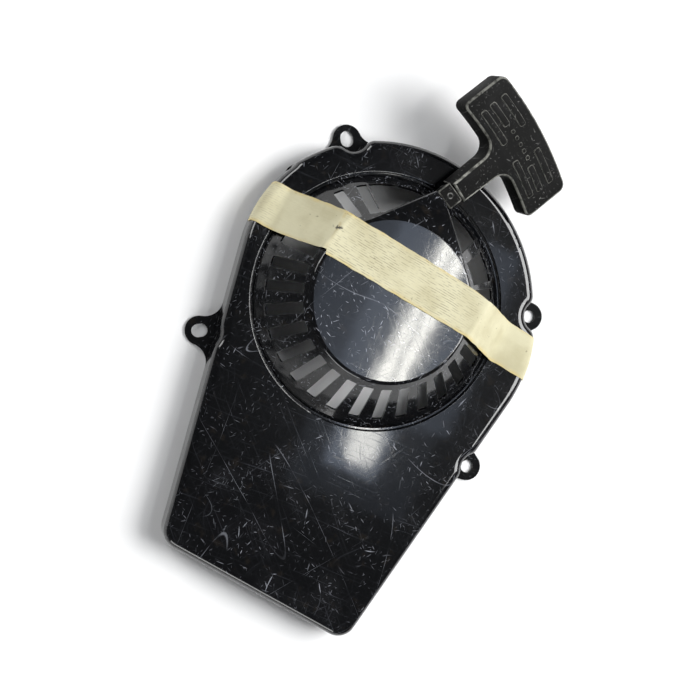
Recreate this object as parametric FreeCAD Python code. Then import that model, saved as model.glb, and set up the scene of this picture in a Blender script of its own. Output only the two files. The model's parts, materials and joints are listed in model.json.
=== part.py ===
import FreeCAD, Part
import math
import os

# Recoil (pull) starter of a small engine.  Millimetres, +Z out of the cover's face.
# Origin: the crank axis on the rear mounting plane.  +Y points to the arched top.

V = FreeCAD.Vector
Z_AXIS = V(0, 0, 1)
ORIGIN = V(0, 0, 0)
beyond = 120.0               # further out than anything on the cover

# ---------------------------------------------------------------- driving dimensions
cover_height = 20.0          # rear plane to the cover's face
cover_sheet = 1.5
cover_edge_radius = 5.0      # rounding between face and side wall
plan_convex_radius = 7.0     # smallest roundings of the outline in plan
plan_concave_radius = 5.0
arch_foot_left_y = 36.0      # where the arch hands over to the shoulder arcs
arch_foot_right_y = 48.0
arch_centre = V(2.5, 0, 0)
arch_radius = 87.0
left_shoulder_centre = V(-8.5, 11.0, 0)
left_shoulder_radius = 71.7
left_lean_deg = 15.3         # how far the left wall leans out towards the top
right_shoulder_centre = V(13.3, -2.4, 0)
right_shoulder_radius = 80.0
right_lean_deg = 5.4
chute_bottom_y = -164.6
chute_corner_radius = 10.0
upper_band = 40.0            # height of the band that joins the chute to the shoulders
opening_radius = 68.2        # round opening in the cover's face
opening_lip_radius = 0.9

ear_sheet = 1.5
ear_ring_radius = 7.8
ear_hole_width = 7.0         # clearance for M6
ear_slot_length = 8.6
ear_flare_radius = 10.0
ear_neck_half_width = 5.0    # the tab between the ring and the wall
ear_neck_reach = 20.0
ear_names = ("top", "left", "right", "lower_right")
ear_places = {
    "top": V(-56.4, 68.8, 0),
    "left": V(-71.6, -60.8, 0),
    "right": V(83.2, 41.0, 0),
    "lower_right": V(95.0, -49.3, 0),
}
ear_slotted = ("top", "left")            # the other two holes are round
wrench_clearance = {"top": 8.5, "left": 9.5, "right": 8.5, "lower_right": 8.5}

case_sheet = 1.2
case_flange_radius = 71.8    # stays clear of the rounding inside the cover's edge
cone_foot_radius = 67.3      # at the underside of the cover's face
disc_radius = 42.1
disc_height = 48.0
disc_edge_radius = 2.5
slot_count = 30
slot_width = 5.8
slot_outer_radius = 62.0
slot_inner_radius = 45.5
slot_corner_radius = 1.0
first_slot_deg = 131.0
last_slot_deg = 395.0
windows_deg = ((98.0, 127.5), (63.5, 80.5), (41.5, 57.0))

pull_angle_deg = 69.0        # direction of the handle's pull, from +X
pull_offset = 22.6           # how far the pull axis passes from the crank axis
rope_height = 32.0           # height of the rope's plane
rope_radius = 1.7
rope_pitch = 3.6
rope_turns = 5
rope_first_radius = 17.0     # centre line of the innermost turn
rope_bend_radius = 20.0      # where the rope turns from the coil to the pull axis

nose_start_radius = 43.0
nose_end = 56.0              # along the pull axis
nose_left = -6.8
nose_right = 1.0
nose_end_height = 40.5
nose_edge_radius = 2.0

guide_start = 56.3
guide_end = 64.9
guide_width = 11.6
guide_half_height = 6.0
guide_bore_radius = 2.6
guide_edge_radius = 1.2
guide_flare = 1.2            # how much wider the bore is where the rope enters
spigot_radius = 4.9
spigot_reach = 2.0           # how far the spigot stands inside the nose

stem_start = 65.3
stem_start_width = 12.0
stem_end_width = 13.5
bar_inner = 94.7             # along the pull axis, at the bar's middle
bar_outer = 122.9
bar_sweep = 3.5              # how far the bar's ends are swept back
bar_half_length = 36.7
bar_height = 13.0
bar_corner_radius = 4.0
grip_edge_radius = 1.6
grip_root_radius = 8.0
grip_roll_deg = 16.0         # the grip hangs turned about the rope, left end up
grip_bore_radius = 2.1
knot_pocket_radius = 4.7
knot_pocket_floor = 110.5
knot_radius = 4.2
knot_core_radius = 3.3
knot_turn_shift = 1.3
washer_sheet = 1.25          # washer between the knot and the pocket's floor, with its play

post_radius = 6.0
post_hub_radius = 8.0
post_flange_radius = 13.0
post_flange_sheet = 1.2
post_end = 25.0
eye_slot_width = 2.0         # slot in the post's hub for the spring's inner hook
bush_wall = 2.0
running_gap = 0.05

reel_radius = 37.0
reel_low = 28.0
reel_web_low = 34.2
reel_web_high = 36.0
reel_high = 45.6
groove_low = 29.9
groove_floor_radius = 15.0
spring_cavity_radius = 34.0
hub_boss_radius = 12.5
hub_boss_low = 25.2
lightening_holes = 6         # round holes through the reel's lower flange
lightening_ring = 31.5
lightening_radius = 2.5

spring_strip = 0.5
spring_low = 36.6
spring_high = 44.6
spring_inner_radius = 9.4
spring_outer_radius = 33.2
spring_turns = 9.5
spring_hook = 2.2            # inner end of the strip, turned in towards the post

pawl_pivot_radius = 20.0
pawl_pin_radius = 2.5
pawl_rest_deg = -110.0
pawl_swing_deg = 25.0
pawl_reach = 14.0
pawl_eye_radius = 5.0
pawl_low = 22.4
pawl_high = 27.6
cam_pin_distance = 7.0
cam_pin_radius = 1.5
cam_pin_low = 19.0
plate_low = 20.4
plate_high = 21.8
plate_radius = 26.0
plate_hub_radius = 9.5
plate_turn_deg = 25.0
cam_gap = 0.25
friction_wire = 0.7
friction_coil_radius = 6.2
friction_turns = 2.0
friction_washer_sheet = 1.0
friction_washer_radius = 8.2

washer_radius = 11.0
washer_low = 23.7
bolt_shoulder_radius = 4.5
bolt_shoulder_low = 14.6
bolt_flange_radius = 8.0
bolt_flange_low = 13.2
bolt_head_low = 9.6
bolt_hex_across_flats = 10.0
bolt_thread_radius = 2.95
bolt_thread_end = 39.0

tape_width = 24.0
tape_thickness = 0.4
tape_gap = 0.2
tape_centre_y = 16.0
tape_tilt_deg = 2.5
tape_wrap_end_z = 8.0
tape_crease_ring = 69.5
tape_crease_disc = 44.0

# ---------------------------------------------------------------- worked-out values
pull_dir = V(math.cos(math.radians(pull_angle_deg)), math.sin(math.radians(pull_angle_deg)), 0)
pull_side = V(pull_dir.y, -pull_dir.x, 0)
pull_foot = pull_side * -pull_offset
cone_slope = (cone_foot_radius - disc_radius) / (disc_height - (cover_height - cover_sheet))
cone_horizontal_sheet = case_sheet * math.sqrt(1 + cone_slope ** 2)


def cone_radius(z):
    return cone_foot_radius - (z - (cover_height - cover_sheet)) * cone_slope


def on_pull_axis(along, aside, z):
    return pull_foot + pull_dir * along + pull_side * aside + V(0, 0, z)


# ---------------------------------------------------------------- small helpers
def disc_face(centre, radius):
    return Part.Face(Part.Wire(Part.Circle(centre, Z_AXIS, radius).toShape()))


def polygon_face(points):
    return Part.Face(Part.makePolygon(list(points) + [points[0]]))


def revolved(points):
    """Solid of revolution about Z from (radius, z) points."""
    return polygon_face([V(r, 0, z) for r, z in points]).revolve(ORIGIN, Z_AXIS, 360)


def raised(face, low, high):
    solid = face.extrude(V(0, 0, high - low))
    solid.translate(V(0, 0, low))
    return solid


def tube(outer, inner, low, high):
    ring = Part.makeCylinder(outer, high - low, V(0, 0, low))
    return ring.cut(Part.makeCylinder(inner, high - low, V(0, 0, low)))


def turned(shape, degrees):
    copy = shape.copy()
    copy.rotate(ORIGIN, Z_AXIS, degrees)
    return copy


def polar(radius, degrees, z=0.0):
    angle = math.radians(degrees)
    return V(radius * math.cos(angle), radius * math.sin(angle), z)


def joined(faces):
    """One flat face from several overlapping ones at height 0."""
    slabs = [raised(face, 0, 1) for face in faces]
    slab = slabs[0].multiFuse(slabs[1:]).removeSplitter()
    bottom = max((face for face in slab.Faces if face.BoundBox.ZMax < 0.01), key=lambda face: face.Area)
    return Part.Face(bottom.OuterWire)


def closed_corners(face, radius):
    """Fill the concave corners of a flat face with arcs of this radius."""
    return face.makeOffset2D(radius).makeOffset2D(-radius)


def opened_corners(face, radius):
    """Round the convex corners of a flat face with arcs of this radius."""
    return face.makeOffset2D(-radius).makeOffset2D(radius)


def middle_of(edge):
    return edge.valueAt((edge.FirstParameter + edge.LastParameter) / 2)


def rim_edges(shape, radius, height):
    """Edges that lie on a circle about Z at this height."""
    found = []
    for edge in shape.Edges:
        middle = middle_of(edge)
        if abs(middle.z - height) < 0.01 and abs(math.hypot(middle.x, middle.y) - radius) < 0.01:
            found.append(edge)
    return found


def swept(points, radius):
    """Round bar along a smooth curve through the points."""
    curve = Part.BSplineCurve()
    curve.interpolate(points)
    path = Part.Wire(curve.toShape())
    section = Part.Wire(Part.Circle(points[0], curve.tangent(curve.FirstParameter)[0], radius).toShape())
    return path.makePipeShell([section], True, True)


def save(name, shape):
    solid = shape.removeSplitter()
    solid.exportStep("parts/" + name + ".step")
    print(name, "valid" if solid.isValid() else "NOT VALID", len(solid.Solids), round(solid.Volume, 1))


# ---------------------------------------------------------------- fan cover
def wall_tangent(centre, radius, lean_deg, side):
    """Where a leaning side wall touches its shoulder arc; side is -1 left, +1 right."""
    lean = math.radians(lean_deg)
    return centre + V(side * math.cos(lean), -math.sin(lean), 0) * radius


def wall_at_bottom(tangent, lean_deg, side):
    run = (tangent.y - chute_bottom_y) * math.tan(math.radians(lean_deg))
    return V(tangent.x - side * run, chute_bottom_y, 0)


def plain_outline():
    left = wall_tangent(left_shoulder_centre, left_shoulder_radius, left_lean_deg, -1)
    right = wall_tangent(right_shoulder_centre, right_shoulder_radius, right_lean_deg, 1)
    chute = polygon_face([left, wall_at_bottom(left, left_lean_deg, -1),
                          wall_at_bottom(right, right_lean_deg, 1), right])
    chute = opened_corners(chute, chute_corner_radius)
    # the band fills the chute's two upper corners, which the call above has rounded off too
    left_drop = V(math.tan(math.radians(left_lean_deg)), -1, 0) * upper_band
    right_drop = V(-math.tan(math.radians(right_lean_deg)), -1, 0) * upper_band
    band = polygon_face([left, left + left_drop, right + right_drop, right])
    shoulders = [disc_face(left_shoulder_centre, left_shoulder_radius),
                 disc_face(right_shoulder_centre, right_shoulder_radius)]
    above = polygon_face([V(-beyond, arch_foot_left_y, 0), V(beyond, arch_foot_right_y, 0),
                          V(beyond, beyond, 0), V(-beyond, beyond, 0)])
    arch = disc_face(arch_centre, arch_radius).common(above)
    return joined([arch, chute, band] + shoulders)


def scalloped_outline(outline):
    """The outline with room for a wrench at each ear's screw."""
    dents = [disc_face(ear_places[name], wrench_clearance[name]) for name in ear_names]
    face = outline.cut(Part.Compound(dents)).Faces[0]
    return closed_corners(opened_corners(face, plan_convex_radius), plan_concave_radius)


def cover_block(outline, inset, height, edge_radius):
    face = outline.makeOffset2D(-inset) if inset else outline
    block = raised(face, 0, height)
    top = [edge for edge in block.Edges if min(v.Z for v in edge.Vertexes) > height - 0.01]
    return block.makeFillet(edge_radius, top)


def ear_plate(outline):
    tabs = []
    for name in ear_names:
        place = ear_places[name]
        inward = (arch_centre - place).normalize()
        across = V(-inward.y, inward.x, 0) * ear_neck_half_width
        neck = polygon_face([place + across, place - across,
                             place - across + inward * ear_neck_reach,
                             place + across + inward * ear_neck_reach])
        tabs += [disc_face(place, ear_ring_radius), neck]
    plan = joined([outline] + tabs)
    return raised(closed_corners(plan, ear_flare_radius), 0, ear_sheet)


def ear_hole(name):
    place = ear_places[name]
    hole = Part.makeCylinder(ear_hole_width / 2, 10, place - V(0, 0, 5))
    if name not in ear_slotted:
        return hole
    outward = (place - arch_centre).normalize()
    reach = (ear_slot_length - ear_hole_width) / 2
    across = V(-outward.y, outward.x, 0) * (ear_hole_width / 2)
    ends = [place + outward * reach, place - outward * reach]
    middle = polygon_face([ends[0] + across, ends[0] - across, ends[1] - across, ends[1] + across])
    caps = [Part.makeCylinder(ear_hole_width / 2, 10, end - V(0, 0, 5)) for end in ends]
    return raised(middle, -5, 5).multiFuse(caps)


def opening_cutter():
    """Round opening whose upper edge flares out with a small radius."""
    lip = opening_lip_radius
    low = V(opening_radius, 0, cover_height - lip)
    high = V(opening_radius + lip, 0, cover_height)
    bulge = V(opening_radius + lip * (1 - math.sqrt(0.5)), 0, cover_height - lip * (1 - math.sqrt(0.5)))
    arc = Part.Arc(low, bulge, high).toShape()
    rest = Part.makePolygon([high, high + V(0, 0, 1), V(0, 0, cover_height + 1), V(0, 0, cover_height - 5),
                             V(opening_radius, 0, cover_height - 5), low])
    return Part.Face(Part.Wire([arc] + rest.Edges)).revolve(ORIGIN, Z_AXIS, 360)


def make_fan_cover():
    outline = plain_outline()
    scalloped = scalloped_outline(outline)
    outer = cover_block(scalloped, 0, cover_height, cover_edge_radius)
    inner = cover_block(scalloped, cover_sheet, cover_height - cover_sheet, cover_edge_radius - cover_sheet)
    cover = outer.fuse(ear_plate(outline)).cut(inner)
    cover = cover.cut(opening_cutter())
    return cover.cut(Part.Compound([ear_hole(name) for name in ear_names]))


# ---------------------------------------------------------------- slotted starter case
def dome(outer):
    """The dome as a full solid: its outside, or the hollow one sheet further in."""
    drop = 0.0 if outer else case_sheet
    shift = 0.0 if outer else cone_horizontal_sheet
    foot = cover_height - cover_sheet if outer else 10.0
    top = disc_height - drop
    foot_radius = cone_radius(foot) - shift
    top_radius = cone_radius(top) - shift
    solid = revolved([(0, foot), (foot_radius, foot), (top_radius, top), (0, top)])
    return solid.makeFillet(disc_edge_radius - drop, rim_edges(solid, top_radius, top))


def nose(inset):
    """Duct from the disc to the rope outlet, with tangent side walls and a shallow conical top."""
    radius = nose_start_radius - inset
    left = on_pull_axis(nose_end - inset, nose_left + inset, 0)
    right = on_pull_axis(nose_end - inset, nose_right - inset, 0)
    left_deg = math.degrees(math.atan2(left.y, left.x) + math.acos(radius / left.Length))
    right_deg = math.degrees(math.atan2(right.y, right.x) - math.acos(radius / right.Length))
    plan = polygon_face([polar(radius, left_deg), left, right, polar(radius, right_deg)])
    low = cover_height - cover_sheet - (5.0 if inset else 0.0)
    block = raised(plan, low, disc_height)
    crease = disc_radius - 1.0
    slope = (disc_height - nose_end_height) / (left.Length - nose_start_radius)
    top = disc_height - inset
    above = revolved([(0, top), (crease, top), (beyond, top - slope * (beyond - crease)),
                      (beyond, beyond), (0, beyond)])
    return block.cut(above)


def rounded_nose():
    block = nose(0)
    outlet = on_pull_axis(nose_end, 0, 0)
    edges = []
    for edge in block.Edges:
        middle = middle_of(edge)
        far = math.hypot(middle.x, middle.y) > 0.72 * outlet.Length
        if far and edge.BoundBox.ZMin > cover_height and edge.BoundBox.ZMax > nose_end_height - 3:
            edges.append(edge)
    return block.makeFillet(nose_edge_radius, edges)


def slot_cutter():
    """One slot through the sloping wall, at angle 0."""
    outer_z = cover_height - cover_sheet + (cone_foot_radius - slot_outer_radius) / cone_slope
    inner_z = cover_height - cover_sheet + (cone_foot_radius - slot_inner_radius) / cone_slope
    length = math.hypot(slot_outer_radius - slot_inner_radius, inner_z - outer_z)
    box = Part.makeBox(length, slot_width, 10, V(-length / 2, -slot_width / 2, -5))
    upright = [edge for edge in box.Edges if edge.BoundBox.ZLength > 9]
    box = box.makeFillet(slot_corner_radius, upright)
    box.rotate(ORIGIN, V(0, 1, 0), math.degrees(math.atan(1 / cone_slope)))
    box.translate(V((slot_outer_radius + slot_inner_radius) / 2, 0, (outer_z + inner_z) / 2))
    return box, outer_z, inner_z


def window_cutter(start_deg, end_deg):
    _, outer_z, inner_z = slot_cutter()
    reach = 5.0
    ends = [V(slot_outer_radius, 0, outer_z), V(slot_inner_radius, 0, inner_z)]
    along = (ends[1] - ends[0]).normalize()
    normal = V(along.z, 0, -along.x)
    section = polygon_face([ends[0] + normal * reach, ends[1] + normal * reach,
                            ends[1] - normal * reach, ends[0] - normal * reach])
    return turned(section.revolve(ORIGIN, Z_AXIS, end_deg - start_deg), start_deg)


def make_starter_case():
    hollow = dome(False)
    wall = dome(True).cut(hollow)
    slot, _, _ = slot_cutter()
    pitch = 360.0 / slot_count
    count = int(round((last_slot_deg - first_slot_deg) / pitch)) + 1
    cutters = [turned(slot, first_slot_deg + pitch * index) for index in range(count)]
    cutters += [window_cutter(start, end) for start, end in windows_deg]
    wall = wall.cut(Part.Compound(cutters))
    duct = rounded_nose()
    inside = nose(case_sheet)
    duct_shell = duct.cut(inside).cut(hollow)
    wall = wall.cut(duct).fuse(duct_shell)
    top = cover_height - cover_sheet
    low = top - case_sheet
    flange = tube(case_flange_radius, cone_radius(low) - cone_horizontal_sheet, low, top)
    case = wall.fuse(flange).cut(inside)
    mouth_start = on_pull_axis(nose_end - 3 * spigot_reach, 0, rope_height)
    mouth = Part.makeCylinder(spigot_radius + 0.1, 6 * spigot_reach, mouth_start, pull_dir)
    return case.cut(mouth)


# ---------------------------------------------------------------- rope guide
def make_rope_guide():
    """Moulded block on the nose's end, with a spigot through the sheet and a flared bore."""
    along = V(1, 0, 0)
    inner_end = nose_end - spigot_reach
    length = guide_end - guide_start
    box = Part.makeBox(length, guide_width, 2 * guide_half_height,
                       V(guide_start, -guide_width / 2, rope_height - guide_half_height))
    box = box.makeFillet(guide_edge_radius, box.Edges)
    start = V(inner_end, 0, rope_height)
    spigot = Part.makeCylinder(spigot_radius, guide_start - inner_end + 1.0, start, along)
    bore = Part.makeCylinder(guide_bore_radius, guide_end - inner_end, start, along)
    flare = Part.makeCone(guide_bore_radius + guide_flare, guide_bore_radius, spigot_reach, start, along)
    guide = to_pull_axis(box.fuse(spigot).cut(bore).cut(flare))
    return guide.cut(dome(True).cut(rounded_nose()))


def to_pull_axis(shape):
    """Move a shape drawn along +X onto the pull axis; its +Y side goes to the left."""
    copy = shape.copy()
    copy.rotate(ORIGIN, Z_AXIS, pull_angle_deg)
    copy.translate(pull_foot)
    return copy


# ---------------------------------------------------------------- grip, knot and rope
def swept_bar_edge(middle):
    """One long edge of the grip's bar, an arc whose ends are swept back."""
    left = V(middle - bar_sweep, bar_half_length, 0)
    right = V(middle - bar_sweep, -bar_half_length, 0)
    return Part.Arc(left, V(middle, 0, 0), right).toShape()


def grip_plan():
    """Swept-back bar on a tapering stem, drawn with the rope along +X."""
    inner = swept_bar_edge(bar_inner)
    outer = swept_bar_edge(bar_outer)
    ends = [Part.makeLine(inner.valueAt(side), outer.valueAt(side))
            for side in (inner.FirstParameter, inner.LastParameter)]
    bar = opened_corners(Part.Face(Part.Wire(Part.sortEdges([inner, outer] + ends)[0])), bar_corner_radius)
    inside_bar = bar_inner + bar_corner_radius
    stem = polygon_face([V(stem_start, stem_start_width / 2, 0), V(stem_start, -stem_start_width / 2, 0),
                         V(inside_bar, -stem_end_width / 2, 0), V(inside_bar, stem_end_width / 2, 0)])
    return closed_corners(joined([bar, stem]), grip_root_radius)


def make_starter_grip():
    body = raised(grip_plan(), rope_height - bar_height / 2, rope_height + bar_height / 2)
    flat = [edge for edge in body.Edges if edge.BoundBox.ZLength < 0.01]
    body = body.makeFillet(grip_edge_radius, flat)
    along = V(1, 0, 0)
    bore = Part.makeCylinder(grip_bore_radius, bar_outer - stem_start, V(stem_start, 0, rope_height), along)
    pocket = Part.makeCylinder(knot_pocket_radius, beyond, V(knot_pocket_floor, 0, rope_height), along)
    body = body.cut(bore).cut(pocket)
    body.rotate(V(0, 0, rope_height), along, grip_roll_deg)
    return to_pull_axis(body)


def make_grip_washer():
    start = V(knot_pocket_floor + running_gap, 0, rope_height)
    sheet = washer_sheet - 2 * running_gap
    washer = Part.makeCylinder(knot_pocket_radius - 0.3, sheet, start, V(1, 0, 0))
    hole = Part.makeCylinder(rope_radius + 0.2, sheet, start, V(1, 0, 0))
    return to_pull_axis(washer.cut(hole))


def make_grip_knot():
    """A stopper knot: two fat turns of rope around a core."""
    axis = V(1, 0, 0)
    centre = V(knot_pocket_floor + washer_sheet + knot_core_radius + 0.1, 0, rope_height)
    core = Part.makeSphere(knot_core_radius, centre)
    turns = [Part.makeTorus(knot_radius - rope_radius, rope_radius, centre + axis * shift, axis)
             for shift in (-knot_turn_shift, knot_turn_shift)]
    return to_pull_axis(core.multiFuse(turns))


def coil_outer_radius():
    return rope_first_radius + rope_pitch * rope_turns


def rope_leave_point():
    """Where the straight run from the guide touches the wound rope."""
    guide_mouth = on_pull_axis(nose_end - 1.0, 0, rope_height)
    flat = V(guide_mouth.x, guide_mouth.y, 0)
    angle = math.atan2(flat.y, flat.x) + math.acos(coil_outer_radius() / flat.Length)
    return polar(coil_outer_radius(), math.degrees(angle), rope_height), math.degrees(angle), guide_mouth


def make_rope_coil():
    """Flat spiral of rope in the reel's groove; its outer end points at the guide."""
    _, leave_deg, _ = rope_leave_point()
    steps = 16 * rope_turns
    points = []
    for index in range(steps + 1):
        turn = rope_turns * index / steps
        radius = rope_first_radius + rope_pitch * turn
        points.append(polar(radius, leave_deg + 360 * (rope_turns - turn), rope_height))
    return swept(points, rope_radius)


def make_rope_lead():
    """Straight run from the coil, a gentle bend in the guide, and on to the knot in the grip."""
    leave, _, mouth = rope_leave_point()
    first = (mouth - leave).normalize()
    half_bend = pull_dir.getAngle(first) / 2
    tangent = rope_bend_radius * math.tan(half_bend)
    start = leave + first * 0.6
    bend_start = mouth - first * tangent
    bend_end = mouth + pull_dir * tangent
    inward = (pull_dir - first).normalize()
    bend_middle = mouth + inward * rope_bend_radius * (1 / math.cos(half_bend) - 1)
    end = on_pull_axis(knot_pocket_floor + washer_sheet, 0, rope_height)
    path = Part.Wire([
        Part.makeLine(start, bend_start),
        Part.Arc(bend_start, bend_middle, bend_end).toShape(),
        Part.makeLine(bend_end, end),
    ])
    section = Part.Wire(Part.Circle(start, first, rope_radius).toShape())
    return path.makePipeShell([section], True, True)


# ---------------------------------------------------------------- reel and its bearing
def make_reel_post():
    """Hollow post under the cap: a welded flange, a hub that holds the spring's eye, and the journal."""
    top = disc_height - case_sheet
    flange = Part.makeCylinder(post_flange_radius, post_flange_sheet, V(0, 0, top - post_flange_sheet))
    hub_low = reel_web_high + 0.4
    hub = Part.makeCylinder(post_hub_radius, top - hub_low, V(0, 0, hub_low))
    slot_depth = post_hub_radius - post_radius + 0.6
    slot = Part.makeBox(2 * slot_depth, eye_slot_width, spring_high - spring_low + 1.0,
                        V(post_hub_radius - slot_depth, -eye_slot_width / 2, spring_low - 0.5))
    journal = Part.makeCylinder(post_radius, top - post_end, V(0, 0, post_end))
    post = flange.multiFuse([hub.cut(slot), journal])
    thread_hole = raised(disc_face(ORIGIN, bolt_thread_radius + running_gap), post_end, bolt_thread_end + 1.0)
    return post.cut(thread_hole)


def make_reel():
    profile = [
        (post_radius + bush_wall, hub_boss_low), (hub_boss_radius, hub_boss_low), (hub_boss_radius, reel_low),
        (reel_radius, reel_low), (reel_radius, groove_low), (groove_floor_radius, groove_low),
        (groove_floor_radius, reel_web_low), (reel_radius, reel_web_low), (reel_radius, reel_high),
        (spring_cavity_radius, reel_high), (spring_cavity_radius, reel_web_high),
        (post_radius + bush_wall, reel_web_high)]
    reel = revolved(profile)
    pins = []
    for side_deg in (0.0, 180.0):
        foot = polar(pawl_pivot_radius, side_deg, plate_high + 0.3)
        pins.append(Part.makeCylinder(pawl_pin_radius, reel_low - foot.z + 0.5, foot))
    reel = reel.multiFuse(pins)
    depth = groove_low - reel_low
    step_deg = 360 / lightening_holes
    places = [polar(lightening_ring, step_deg * (index + 0.5), reel_low) for index in range(lightening_holes)]
    return reel.cut(Part.Compound([Part.makeCylinder(lightening_radius, depth, place) for place in places]))


def make_reel_bush():
    return tube(post_radius + bush_wall, post_radius + running_gap, hub_boss_low, reel_web_high)


def make_recoil_spring():
    """Clock spring: a strip wound in a spiral, hooked into the post and the reel."""
    steps = int(20 * spring_turns)
    growth = spring_outer_radius - spring_inner_radius
    sides = []
    for shift in (-spring_strip / 2, spring_strip / 2):
        points = []
        for index in range(steps + 1):
            part = index / steps
            points.append(polar(spring_inner_radius + growth * part + shift, 360 * spring_turns * part))
        curve = Part.BSplineCurve()
        curve.interpolate(points)
        sides.append((curve.toShape(), points))
    (inner, inner_points), (outer, outer_points) = sides
    outer_end = Part.makeLine(inner_points[-1], outer_points[-1])
    inner_end = Part.makeLine(outer_points[0], inner_points[0])
    strip = Part.Face(Part.Wire([inner, outer_end, outer.reversed(), inner_end]))
    hook = Part.makeBox(spring_hook, spring_strip, spring_high - spring_low,
                        V(spring_inner_radius + spring_strip / 2 - spring_hook, -spring_strip, spring_low))
    return raised(strip, spring_low, spring_high).fuse(hook)


# ---------------------------------------------------------------- ratchet
def cam_pin_place(swing_deg, turn_deg):
    """Cam pin of the first pawl, seen from the friction plate turned by turn_deg."""
    angle = math.radians(pawl_rest_deg + swing_deg)
    x = pawl_pivot_radius + cam_pin_distance * math.cos(angle)
    y = cam_pin_distance * math.sin(angle)
    return polar(math.hypot(x, y), math.degrees(math.atan2(y, x)) - turn_deg)


def make_pawl(side_deg):
    """Pawl with a round eye, a pointed arm and a cam pin; side_deg turns it about the crank axis."""
    eye = disc_face(ORIGIN, pawl_eye_radius)
    root = 0.86 * pawl_eye_radius
    arm = polygon_face([V(-root / 2, root, 0), V(pawl_reach - 1.0, 3.6, 0), V(pawl_reach, 0.5, 0),
                        V(pawl_reach - 2.0, -2.4, 0), V(-root / 2, -root, 0)])
    pawl = raised(joined([eye, arm]), pawl_low, pawl_high)
    pin = Part.makeCylinder(cam_pin_radius, pawl_low - cam_pin_low + 1.0, V(cam_pin_distance, 0, cam_pin_low))
    pawl = pawl.fuse(pin).cut(Part.makeCylinder(pawl_pin_radius + running_gap, 40, V(0, 0, 0)))
    pawl.rotate(ORIGIN, Z_AXIS, pawl_rest_deg)
    pawl.translate(V(pawl_pivot_radius, 0, 0))
    return turned(pawl, side_deg)


def cam_slot():
    radius = cam_pin_radius + cam_gap
    steps = 12
    places = [cam_pin_place(pawl_swing_deg * i / steps, plate_turn_deg * i / steps) for i in range(steps + 1)]
    pieces = [disc_face(place, radius) for place in places]
    for start, end in zip(places, places[1:]):
        across = (end - start).normalize().cross(Z_AXIS) * radius
        pieces.append(polygon_face([start + across, end + across, end - across, start - across]))
    return joined(pieces)


def make_friction_plate():
    bore = bolt_shoulder_radius + 0.1
    plate = tube(plate_radius, bore, plate_low, plate_high)
    plate = plate.fuse(tube(plate_hub_radius, bore, plate_low, washer_low - running_gap))
    slot = raised(cam_slot(), plate_low - 1, plate_high + 1)
    return plate.cut(slot).cut(turned(slot, 180))


def make_friction_washer():
    high = plate_low - 0.1
    return tube(friction_washer_radius, bolt_shoulder_radius + 0.15, high - friction_washer_sheet, high)


def make_friction_spring():
    low = bolt_shoulder_low + friction_wire + 0.1
    high = plate_low - 0.1 - friction_washer_sheet - friction_wire - 0.1
    steps = int(24 * friction_turns)
    points = []
    for index in range(steps + 1):
        part = index / steps
        points.append(polar(friction_coil_radius, 360 * friction_turns * part, low + (high - low) * part))
    return swept(points, friction_wire)


def make_thrust_washer():
    return tube(washer_radius, bolt_thread_radius + 0.2, washer_low, post_end)


def make_center_bolt():
    hexagon = [polar(bolt_hex_across_flats / math.sqrt(3), 60 * index) for index in range(6)]
    head = raised(polygon_face(hexagon), bolt_head_low, bolt_flange_low)
    flange = raised(disc_face(ORIGIN, bolt_flange_radius), bolt_flange_low, bolt_shoulder_low)
    shoulder = raised(disc_face(ORIGIN, bolt_shoulder_radius), bolt_shoulder_low, washer_low)
    shank = raised(disc_face(ORIGIN, bolt_thread_radius), washer_low, bolt_thread_end)
    return head.multiFuse([flange, shoulder, shank])


# ---------------------------------------------------------------- tape across the dome
def make_tape():
    """Tape stretched from wall to wall: down both walls, and straight from the face up to the cap."""
    outline = scalloped_outline(plain_outline())
    low = cover_height + tape_gap
    high = disc_height + tape_gap
    skin = cover_block(outline.makeOffset2D(tape_gap + tape_thickness), 0, low + tape_thickness,
                       cover_edge_radius + tape_gap + tape_thickness)
    skin = skin.cut(cover_block(outline.makeOffset2D(tape_gap), 0, low, cover_edge_radius + tape_gap))
    side = tape_centre_y - tape_width / 2
    band = Part.makeBox(2 * beyond, tape_width, disc_height, V(-beyond, side, tape_wrap_end_z))
    core = Part.makeBox(2 * tape_crease_ring - 2, 2 * tape_width, disc_height,
                        V(1 - tape_crease_ring, side - tape_width / 2, 0))
    lower = [(-tape_crease_ring - 3, low), (-tape_crease_ring, low), (-tape_crease_disc, high),
             (tape_crease_disc, high), (tape_crease_ring, low), (tape_crease_ring + 3, low)]
    upper = [(x, z + tape_thickness) for x, z in reversed(lower)]
    bridge = polygon_face([V(x, side, z) for x, z in lower + upper]).extrude(V(0, tape_width, 0))
    for piece in (band, core, bridge):
        piece.rotate(V(0, tape_centre_y, 0), Z_AXIS, tape_tilt_deg)
    return skin.common(band).cut(core).fuse(bridge)


def main():
    os.makedirs("parts", exist_ok=True)
    save("fan_cover", make_fan_cover())
    save("starter_case", make_starter_case())
    save("rope_guide", make_rope_guide())
    save("masking_tape_label", make_tape())
    save("starter_grip", make_starter_grip())
    save("grip_washer", make_grip_washer())
    save("grip_knot", make_grip_knot())
    save("rope_lead", make_rope_lead())
    save("rope_coil", make_rope_coil())
    save("reel_post", make_reel_post())
    save("reel", make_reel())
    save("reel_bush", make_reel_bush())
    save("recoil_spring", make_recoil_spring())
    save("pawl_a", make_pawl(0))
    save("pawl_b", make_pawl(180))
    save("friction_plate", make_friction_plate())
    save("friction_washer", make_friction_washer())
    save("friction_spring", make_friction_spring())
    save("thrust_washer", make_thrust_washer())
    save("center_bolt", make_center_bolt())


main()
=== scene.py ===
"""Looks of the recoil starter: finishes, the moulded grip, the masking tape and the braided rope.

Lengths in this script are metres.  +Z points out of the cover's face, +Y to its arched top,
and the origin is the crank axis on the rear mounting plane.
"""
import json
import math

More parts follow.
